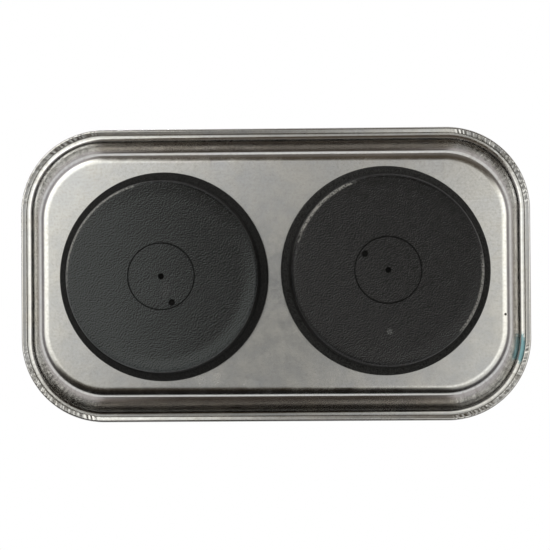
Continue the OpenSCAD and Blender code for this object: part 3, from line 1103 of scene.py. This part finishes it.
@dataclass(frozen=True)
class RubberFinish:
    """Black moulded rubber: leathery face with painted light and shade on it and on its grain, painted
    highlights on stretches of the edge, and painted shade on the side, the brim and in the pits.

    One way points to the side toward which the face is painted lighter, as if lit from there; two
    more point to where the face's border gets a painted sheen and where painted shade, and by how
    much; and depth shifts the whole face between dark and light.
    """

    name: str
    centre: Pair
    # The face's lightest colour; the left cover's is set lighter than the right's as painted light.
    light: Colour
    # Painted shade on the side and the brim.
    flank: Colour
    cells: float
    contrast: float
    depth: float
    # Painted light toward one side of the face: its strength and its way.
    painted_side_light_strength: float
    painted_side_light_way: Triple
    # Painted sheen and painted shade on the face's border: where and how strong.
    border_painted_light: Triple
    border_painted_shade: Triple
    scuff: Mark
    scuffed: Colour
    # Painted highlights on stretches of the edge, and which part of the rounded edge they lie on.
    edge_highlights: tuple[Mark, ...]
    highlight_edge: Range
    dark: Colour = (0.001, 0.001, 0.001, 1.0)
    # Colour of the painted highlights on the edge.
    painted_edge_highlight: Colour = (0.32, 0.315, 0.295, 1.0)
    shade: Colour = (0.003, 0.003, 0.003, 1.0)
    specular: float = 0.28
    roughness: Range = (0.0, 1.0, 0.42, 0.28)
    flank_rough: float = 0.2
    # Heights over which the side's painted shade lightens from the face toward the brim.
    flank_foot: Range = (3.0 * MM, 10.5 * MM)
    # Reach of the border's painted sheen and shade.
    border: Range = (33.5 * MM, 38.5 * MM)
    # Reach of the painted light toward one side.
    painted_side_light: Range = (-40 * MM, 40 * MM)
    tone_cells: float = 45.0
    tone_strength: float = 0.08
    grain: float = 0.12 * MM
    grain_rough: Range = (0.0, 1.0, 0.10, -0.05)
    grain_edge: Range = (0.0, 1.0, 1.0, 0.4)
    lit_from: Triple = (-0.16 * MM, -0.20 * MM, 0.0)
    fine_grain: Grain = (3800.0, 2.0)
    fine_share: float = 0.3
    patch_grain: Grain = (320.0, 2.0)
    patches: Range = (0.35, 0.65, 0.8, 1.3)
    scuff_grain: Grain = (2600.0, 2.0)
    scuff_specks: Range = (0.5, 0.68)
    # Specks that break up the painted highlights.
    highlight_grain: Grain = (1500.0, 2.0)
    highlight_specks: Range = (0.34, 0.58)
    # Depths and reach of the painted shade in the pit, the gate's dent and the moulded circle, which are
    # also rougher.
    sunk_depth: Range = (0.06 * MM, 0.45 * MM)
    sunk_reach: Range = (15.5 * MM, 16.5 * MM, 1.0, 0.0)
    sunk_rough: float = 0.4

    def face_shade(self, rubber: Surface, effects: Effects, grain: Socket, offset: Socket) -> Socket:
        """How far each spot of the face is from dark to light, with painted light and shade in it.

        Args:
            rubber: the material.
            effects: the shared groups.
            grain: the height of the grain.
            offset: the place as seen from the cover's middle.

        Returns:
            The shade's socket.
        """
        # Painted light and shade on the grain: each bump lighter on the side toward lit_from and darker
        # on the far side.
        beside = effects.pebbles.use(rubber, Vector=rubber.vector("ADD", rubber.place, self.lit_from),
                                     Scale=self.cells)
        patchy = rubber.span(rubber.noise(rubber.place, *self.patch_grain), *self.patches)
        lit = rubber.product(rubber.math("SUBTRACT", grain, beside), self.contrast, patchy)
        # Painted light: the face lighter toward one side, as if lit from there.
        painted_side_light = rubber.span(rubber.vector("DOT_PRODUCT", offset, self.painted_side_light_way), *self.painted_side_light)
        # Painted sheen on one part of the face's border and painted shade on another.
        outward = rubber.vector("NORMALIZE", offset)
        lighter, darker = (rubber.math("MAXIMUM", rubber.vector("DOT_PRODUCT", outward, way), 0.0)
                           for way in (self.border_painted_light, self.border_painted_shade))
        border = rubber.product(rubber.span(rubber.vector("LENGTH", offset), *self.border),
                                rubber.math("SUBTRACT", lighter, darker))
        tone = effects.clouds.use(rubber, Scale=self.tone_cells)
        return rubber.total(lit, rubber.product(painted_side_light, self.painted_side_light_strength),
                            rubber.product(tone, self.tone_strength), border, self.depth)

    def material(self, effects: Effects) -> bpy.types.Material:
        """Makes the material.

        Args:
            effects: the shared groups.

        Returns:
            The material.
        """
        rubber = Surface(self.name)
        place = rubber.place
        along, across, height = rubber.axes()
        offset = rubber.vector("SUBTRACT", rubber.point(along, across), (*self.centre, 0.0))
        edge, flank = rubber.attribute("edge"), rubber.attribute("flank")
        grain = effects.pebbles.use(rubber, Scale=self.cells)
        fine = rubber.noise(place, *self.fine_grain)
        # Painted shade in the pit, the gate's dent and the moulded circle.
        sunk = rubber.product(rubber.span(height, *self.sunk_depth),
                              rubber.span(rubber.vector("LENGTH", offset), *self.sunk_reach))
        scuff = rubber.span(rubber.noise(place, *self.scuff_grain), *self.scuff_specks)
        scuff = rubber.product(self.scuff.mask(effects, rubber), scuff)
        # Painted highlights along stretches of the edge, broken into specks.
        edge_highlight = rubber.total(*[mark.mask(effects, rubber) for mark in self.edge_highlights])
        edge_highlight = rubber.product(edge_highlight, rubber.span(edge, *self.highlight_edge),
                             rubber.span(rubber.noise(place, *self.highlight_grain), *self.highlight_specks))
        # Painted shade on the side and the brim, darkest where the side meets the face.
        outer = rubber.product(grain, rubber.span(height, *self.flank_foot))
        outer = rubber.blend(outer, self.shade, self.flank)
        # The scuff is a real mark; the face's shade, the edge highlights, the side's coat and the pits'
        # coat carry painted light and shade.
        colour = rubber.coats(
            self.dark, (self.face_shade(rubber, effects, grain, offset), self.light),
            (scuff, self.scuffed), (edge_highlight, self.painted_edge_highlight), (flank, outer), (sunk, self.shade))
        roughness = rubber.total(
            rubber.span(edge, *self.roughness), rubber.span(grain, *self.grain_rough),
            rubber.product(flank, self.flank_rough), rubber.product(sunk, self.sunk_rough))
        relief = rubber.product(rubber.total(grain, rubber.product(fine, self.fine_share)), self.grain,
                                rubber.span(edge, *self.grain_edge))
        rubber.shader.inputs["Specular IOR Level"].default_value = self.specular
        return rubber.fill(colour, roughness, relief)


@dataclass(frozen=True)
class FerriteFinish:
    """Pressed and fired ferrite, ground on its faces."""

    dark: Colour = (0.045, 0.045, 0.048, 1.0)
    light: Colour = (0.075, 0.075, 0.078, 1.0)
    tone_cells: float = 90.0
    grain_cells: float = 3000.0
    grain: float = 0.01 * MM
    roughness: Range = (0.0, 1.0, 0.62, 0.45)

    def material(self, effects: Effects) -> bpy.types.Material:
        """Makes the material.

        Args:
            effects: the shared groups.

        Returns:
            The material.
        """
        ferrite = Surface("ferrite")
        tone = effects.clouds.use(ferrite, Scale=self.tone_cells)
        grain = effects.pebbles.use(ferrite, Scale=self.grain_cells)
        return ferrite.fill(ferrite.blend(tone, self.dark, self.light),
                            ferrite.span(grain, *self.roughness), ferrite.product(grain, self.grain))


@dataclass(frozen=True)
class PlatedFinish:
    """Bright zinc on steel, with fine handling scratches."""

    cool: Colour = (0.62, 0.64, 0.68, 1.0)
    warm: Colour = (0.70, 0.69, 0.66, 1.0)
    metallic: float = 1.0
    tone_cells: float = 160.0
    scratch_cells: float = 900.0
    scratch_turn: float = 1.1
    scratch_rough: float = 0.1
    roughness: Range = (0.0, 1.0, 0.27, 0.37)

    def material(self, effects: Effects) -> bpy.types.Material:
        """Makes the material.

        Args:
            effects: the shared groups.

        Returns:
            The material.
        """
        zinc = Surface("zinc_plate")
        tone = effects.clouds.use(zinc, Scale=self.tone_cells)
        scratch = effects.hairlines.use(zinc, Turn=self.scratch_turn, Scale=self.scratch_cells)
        zinc.shader.inputs["Metallic"].default_value = self.metallic
        return zinc.fill(zinc.blend(tone, self.cool, self.warm),
                         zinc.total(zinc.span(tone, *self.roughness),
                                    zinc.product(scratch, self.scratch_rough)))


@dataclass
class HiddenPieces:
    """The solids inside the covers, which keep their shapes."""

    magnet: str = "ring_magnet"
    steel: tuple[str, ...] = ("weld_stud", "keeper_plate", "flat_washer", "spring_washer", "hex_nut")

    def dress(self, ferrite: bpy.types.Material, plated: bpy.types.Material) -> None:
        """Gives each solid its finish.

        Args:
            ferrite: the magnets' material.
            plated: the plated pieces' material.
        """
        for side in Side:
            for kind in (self.magnet, *self.steel):
                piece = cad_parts[f"{side.value}_{kind}"]
                piece.data.materials.clear()
                piece.data.materials.append(ferrite if kind == self.magnet else plated)
                log.info("%s: solid kept", piece.name)


@dataclass(frozen=True)
class Ring:
    """One ring of the studio dome: its angle from straight down in degrees, and its light."""

    angle: float
    red: float
    green: float
    blue: float


@dataclass
class Studio:
    """Floor, painted dome, lamp and camera.

    The rings give the dome's light toward the tray's ends and beside its long sides. Heights on the
    dome run from -1, straight down, to 1, straight up. A share gives where the end rings take over
    from the others round the dome, and a tilt makes the dome brighter toward one side.
    """

    camera_at: Triple = (3.2 * MM, 8.0 * MM, -392.7 * MM)
    camera_aim: Triple = (-2.4 * MM, 4.8 * MM, 36.8 * MM)
    camera_roll: float = 0.43
    camera_near: float = 0.01
    focal_pixels: float = 912.0
    principal: Pair = (270.1, 285.0)
    sensor: float = 36.0
    floor_drop: float = 0.5 * MM
    floor_half: float = 4.0
    floor_fade: Range = (0.30, 0.75)
    floor_colour: Colour = (0.82, 0.82, 0.81, 1.0)
    white: Colour = (1.0, 1.0, 1.0, 1.0)
    end_rings: tuple[Ring, ...] = (
        Ring(0, 0.15, 0.15, 0.15), Ring(4, 0.30, 0.30, 0.29), Ring(8, 0.56, 0.56, 0.55),
        Ring(12, 0.70, 0.70, 0.68), Ring(15, 0.84, 0.84, 0.81), Ring(17.5, 1.12, 1.12, 1.07),
        Ring(20, 1.60, 1.59, 1.51), Ring(23, 1.75, 1.74, 1.65), Ring(50, 1.75, 1.74, 1.65),
        Ring(58, 0.50, 0.49, 0.49), Ring(64, 0.29, 0.27, 0.28), Ring(80, 0.29, 0.27, 0.28),
        Ring(92, 0.90, 0.90, 0.90), Ring(116, 0.95, 0.95, 0.95), Ring(124, 0.55, 0.52, 0.52),
        Ring(155, 0.52, 0.49, 0.48), Ring(168, 0.72, 0.72, 0.72), Ring(180, 0.75, 0.75, 0.75))
    beside_rings: tuple[Ring, ...] = (
        Ring(0, 0.15, 0.15, 0.15), Ring(5, 0.41, 0.41, 0.40), Ring(9, 0.43, 0.43, 0.42),
        Ring(15, 0.44, 0.43, 0.41), Ring(19, 0.085, 0.070, 0.052), Ring(30, 0.055, 0.042, 0.029),
        Ring(48, 0.050, 0.039, 0.028), Ring(56, 0.085, 0.075, 0.066), Ring(80, 0.10, 0.09, 0.08),
        Ring(88, 0.95, 0.95, 0.95), Ring(108, 0.95, 0.95, 0.95), Ring(116, 0.075, 0.062, 0.050),
        Ring(152, 0.060, 0.050, 0.042), Ring(166, 0.70, 0.70, 0.70), Ring(180, 0.75, 0.75, 0.75))
    axis_below: Triple = (0.940, 0.342, 0.0)
    axis_above: Triple = (1.0, 0.0, 0.0)
    share_lowest: Range = (0.10, 0.45)
    share_below: Range = (0.30, 0.62)
    share_above: Range = (0.02, 0.15)
    lowest: Range = (-0.96, -0.92, 1.0, 0.0)
    horizon: Range = (-0.05, 0.05)
    near_tilt: Triple = (-0.08, -1.4, 0.0)
    near_height: Range = (-0.975, -0.92, 1.0, 0.0)
    side_tilt: Triple = (0.0, -1.05, 0.0)
    side_from: Range = (-0.95, -0.80)
    side_to: Range = (-0.12, 0.02, 1.0, 0.0)
    dimmest: float = 0.1
    diffuse_above: float = 0.5
    lamp_at: Triple = (-0.22, -0.16, 1.2)
    lamp_size: float = 0.6
    lamp_power: float = 14.0

    def camera(self) -> None:
        """Puts the camera where the photograph was taken from, below the tray."""
        data = bpy.data.cameras.new("camera")
        data.sensor_width = self.sensor
        data.lens = self.focal_pixels / PHOTO_SIDE * self.sensor
        data.shift_x = (PHOTO_SIDE / 2 - self.principal[0]) / PHOTO_SIDE
        data.shift_y = (self.principal[1] - PHOTO_SIDE / 2) / PHOTO_SIDE
        data.clip_start = self.camera_near
        made = bpy.data.objects.new("camera", data)
        bpy.context.scene.collection.objects.link(made)
        back = (Vector(self.camera_at) - Vector(self.camera_aim)).normalized()
        roll = math.radians(self.camera_roll)
        right = Vector((math.cos(roll), math.sin(roll), 0.0))
        right = (right - back * right.dot(back)).normalized()
        turn = Matrix((right, back.cross(right), back)).transposed()
        made.matrix_world = Matrix.Translation(self.camera_at) @ turn.to_4x4()
        bpy.context.scene.camera = made

    def floor(self) -> None:
        """Lays a pale floor that is seen only from above and fades into the white round it."""
        half = self.floor_half
        mesh = bpy.data.meshes.new("floor")
        corners = [(-half, -half), (half, -half), (half, half), (-half, half)]
        mesh.from_pydata([(x, y, -self.floor_drop) for x, y in corners], [], [(0, 1, 2, 3)])
        made = bpy.data.objects.new("floor", mesh)
        bpy.context.scene.collection.objects.link(made)
        paint = Surface("floor")
        paint.tree.nodes.remove(paint.shader)
        pale = paint.add("ShaderNodeBsdfDiffuse", {"Color": self.floor_colour})
        white = paint.add("ShaderNodeEmission", {"Color": self.white})
        clear = paint.add("ShaderNodeBsdfTransparent")
        seen = paint.add("ShaderNodeLightPath").outputs["Is Camera Ray"]
        behind = paint.add("ShaderNodeNewGeometry").outputs["Backfacing"]
        front = paint.product(seen, paint.math("SUBTRACT", 1.0, behind))
        far = paint.span(paint.vector("LENGTH", paint.place), *self.floor_fade)
        shown = paint.add("ShaderNodeMixShader", {0: far, 1: pale.outputs[0], 2: white.outputs[0]})
        mixed = paint.add("ShaderNodeMixShader", {0: front, 1: clear.outputs[0], 2: shown.outputs[0]})
        paint.put(paint.tree.nodes["Material Output"].inputs["Surface"], mixed.outputs[0])
        mesh.materials.append(paint.material)

    def ramp(self, wires: Wiring, angle: Socket, rings: tuple[Ring, ...]) -> Socket:
        """Adds one run of rings to the dome.

        Args:
            wires: the world's wiring.
            angle: the direction's angle from straight down, as a share of half a turn.
            rings: the rings, in order.

        Returns:
            The light's socket.
        """
        node = wires.add("ShaderNodeValToRGB", {"Fac": angle})
        stops = node.color_ramp.elements
        while len(stops) < len(rings):
            stops.new(1.0)
        for stop, ring in zip(stops, rings):
            stop.position = ring.angle / 180
            stop.color = (ring.red, ring.green, ring.blue, 1.0)
        return node.outputs[0]

    def endward(self, wires: Wiring, way: Socket, height: Socket, above: Socket) -> Socket:
        """How far a direction belongs to the end rings.

        Args:
            wires: the world's wiring.
            way: the direction.
            height: its height on the dome.
            above: 1 over the horizon and 0 under it.

        Returns:
            The share's socket.
        """
        flat = wires.math("SUBTRACT", 1.0, wires.product(height, height))
        flat = wires.math("MAXIMUM", flat, 1e-6)
        lowest = wires.span(height, *self.lowest)
        between = wires.math("SUBTRACT", 1.0, wires.total(lowest, above))
        zones = ((lowest, self.axis_below, self.share_lowest),
                 (between, self.axis_below, self.share_below),
                 (above, self.axis_above, self.share_above))
        shares = []
        for zone, axis, share in zones:
            along = wires.vector("DOT_PRODUCT", way, axis)
            along = wires.math("DIVIDE", wires.product(along, along), flat)
            shares.append(wires.product(wires.span(along, *share), zone))
        return wires.total(*shares)

    def dome(self) -> None:
        """Surrounds the tray with white for the camera, and with a painted studio for reflections.

        Toward each end of the tray the studio is bright below and dimmer above. Beside the long sides
        it is nearly dark, but for a pale band level with the tray. The ceiling is pale, the spot where
        the camera stands is dim, and matt surfaces get less of the light from above.
        """
        world = bpy.data.worlds.new("studio")
        bpy.context.scene.world = world
        world.use_nodes = True
        wires = Wiring(world.node_tree)
        way = wires.add("ShaderNodeTexCoord").outputs["Generated"]
        height = wires.add("ShaderNodeSeparateXYZ", {0: way}).outputs["Z"]
        above = wires.span(height, *self.horizon)
        angle = wires.math("DIVIDE", wires.math("ARCCOSINE", wires.product(height, -1.0)), math.pi)
        light = wires.blend(self.endward(wires, way, height, above),
                            self.ramp(wires, angle, self.beside_rings),
                            self.ramp(wires, angle, self.end_rings))
        side = wires.product(wires.vector("DOT_PRODUCT", way, self.side_tilt),
                             wires.span(height, *self.side_from), wires.span(height, *self.side_to))
        near = wires.product(wires.vector("DOT_PRODUCT", way, self.near_tilt),
                             wires.span(height, *self.near_height))
        level = wires.math("MAXIMUM", wires.total(side, near, 1.0), self.dimmest)
        path = wires.add("ShaderNodeLightPath").outputs
        matt = wires.product(path["Is Diffuse Ray"], above, self.diffuse_above - 1.0)
        light = wires.vector("SCALE", light, wires.product(level, wires.total(matt, 1.0)))
        seen = wires.math("MAXIMUM", path["Is Camera Ray"], path["Is Transmission Ray"])
        wires.put(world.node_tree.nodes["Background"].inputs["Color"],
                  wires.blend(seen, light, self.white))

    def lamp(self) -> None:
        """Hangs one soft square lamp over the tray, facing it."""
        data = bpy.data.lights.new("key_above", "AREA")
        data.size = self.lamp_size
        data.energy = self.lamp_power
        made = bpy.data.objects.new("key_above", data)
        bpy.context.scene.collection.objects.link(made)
        turn = Vector(self.lamp_at).normalized().to_track_quat("Z", "Y").to_matrix().to_4x4()
        made.matrix_world = Matrix.Translation(self.lamp_at) @ turn

    def build(self) -> None:
        """Sets up the whole stage."""
        bpy.context.scene.view_settings.view_transform = "Standard"
        self.camera()
        self.floor()
        self.dome()
        self.lamp()


def left_rubber(cover: MagnetCover) -> RubberFinish:
    """The left cover's finish: painted lighter than the right's as if more lit, and lighter still toward
    the tray's left end, with a painted highlight along one side of its edge.
    """
    return RubberFinish(
        "left_rubber", cover.centre, light=(0.089, 0.098, 0.100, 1.0), flank=(0.018, 0.018, 0.018, 1.0),
        cells=1750.0, contrast=1.25, depth=0.08, painted_side_light_strength=0.52, painted_side_light_way=(-1.0, 0.2, 0.0),
        border_painted_light=(0.34, 0.29, 0.0), border_painted_shade=(0.06, -0.21, 0.0),
        scuff=cover.mark(1.9, 6.0, 2.0, 4.2), scuffed=(0.10, 0.095, 0.10, 1.0),
        edge_highlights=(cover.mark(-30.0, -24.0, 24.0, 32.0),), highlight_edge=(0.72, 1.0))


def right_rubber(cover: MagnetCover) -> RubberFinish:
    """The right cover's finish: painted darker than the left's as if less lit, with a small pale nick
    and painted highlights on two stretches of its edge.
    """
    return RubberFinish(
        "right_rubber", cover.centre, light=(0.074, 0.074, 0.077, 1.0), flank=(0.042, 0.042, 0.041, 1.0),
        cells=1950.0, contrast=1.5, depth=-0.02, painted_side_light_strength=0.2, painted_side_light_way=(-0.7, 0.7, 0.0),
        border_painted_light=(0.19, 0.11, 0.0), border_painted_shade=(0.11, -0.19, 0.0),
        scuff=cover.mark(0.3, 26.5, 1.4, 1.5), scuffed=(0.40, 0.40, 0.39, 1.0),
        edge_highlights=(cover.mark(-28.6, -28.6, 18.0, 18.0), cover.mark(38.0, 13.9, 10.0, 22.0)),
        highlight_edge=(0.3, 1.0))


def main() -> None:
    """Builds the stage and the pieces in order."""
    logging.basicConfig(level=logging.INFO, format="%(message)s")
    Studio().build()
    effects = Effects()
    TrayPan().build(SteelFinish().material(effects))
    left = MagnetCover(Side.LEFT, gate_turn=68.0)
    left.build(left_rubber(left).material(effects))
    right = MagnetCover(Side.RIGHT, gate_turn=215.0)
    right.build(right_rubber(right).material(effects))
    HiddenPieces().dress(FerriteFinish().material(effects), PlatedFinish().material(effects))


if __name__ == "__main__":
    main()
